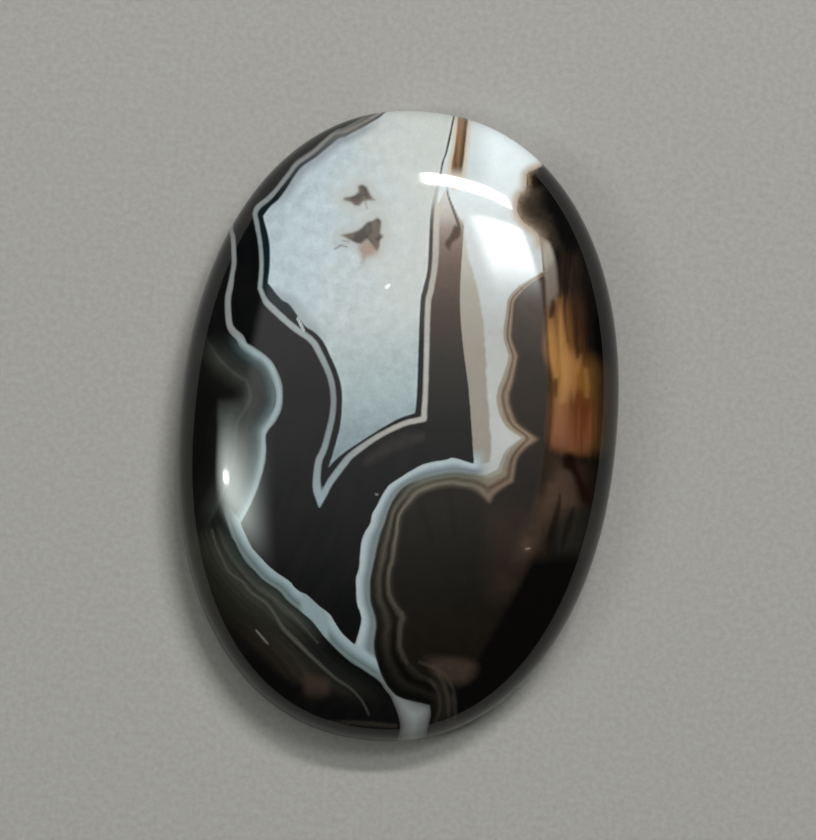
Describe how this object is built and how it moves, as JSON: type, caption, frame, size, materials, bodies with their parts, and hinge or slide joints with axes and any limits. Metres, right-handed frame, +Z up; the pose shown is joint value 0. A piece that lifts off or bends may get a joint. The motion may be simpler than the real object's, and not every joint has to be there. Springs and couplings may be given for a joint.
{
  "type": "sulemani agate cabochon",
  "caption": "Polished oval banded agate cabochon with a domed top and a flat back, resting on its back.",
  "frame": {"origin": "middle of the flat back, on the surface that the stone rests on", "axes": "+X across the stone's width, +Y along its length, +Z up from the flat back through the top of the dome"},
  "size_m": [0.03, 0.0432, 0.0075],
  "materials": {
    "polished_agate": "high gloss polish over banded agate: bluish white, charcoal, smoky brown and amber zones with thin pale lines between them"
  },
  "bodies": {
    "root": {"agate_cabochon": "polished_agate"}
  },
  "joints": []
}
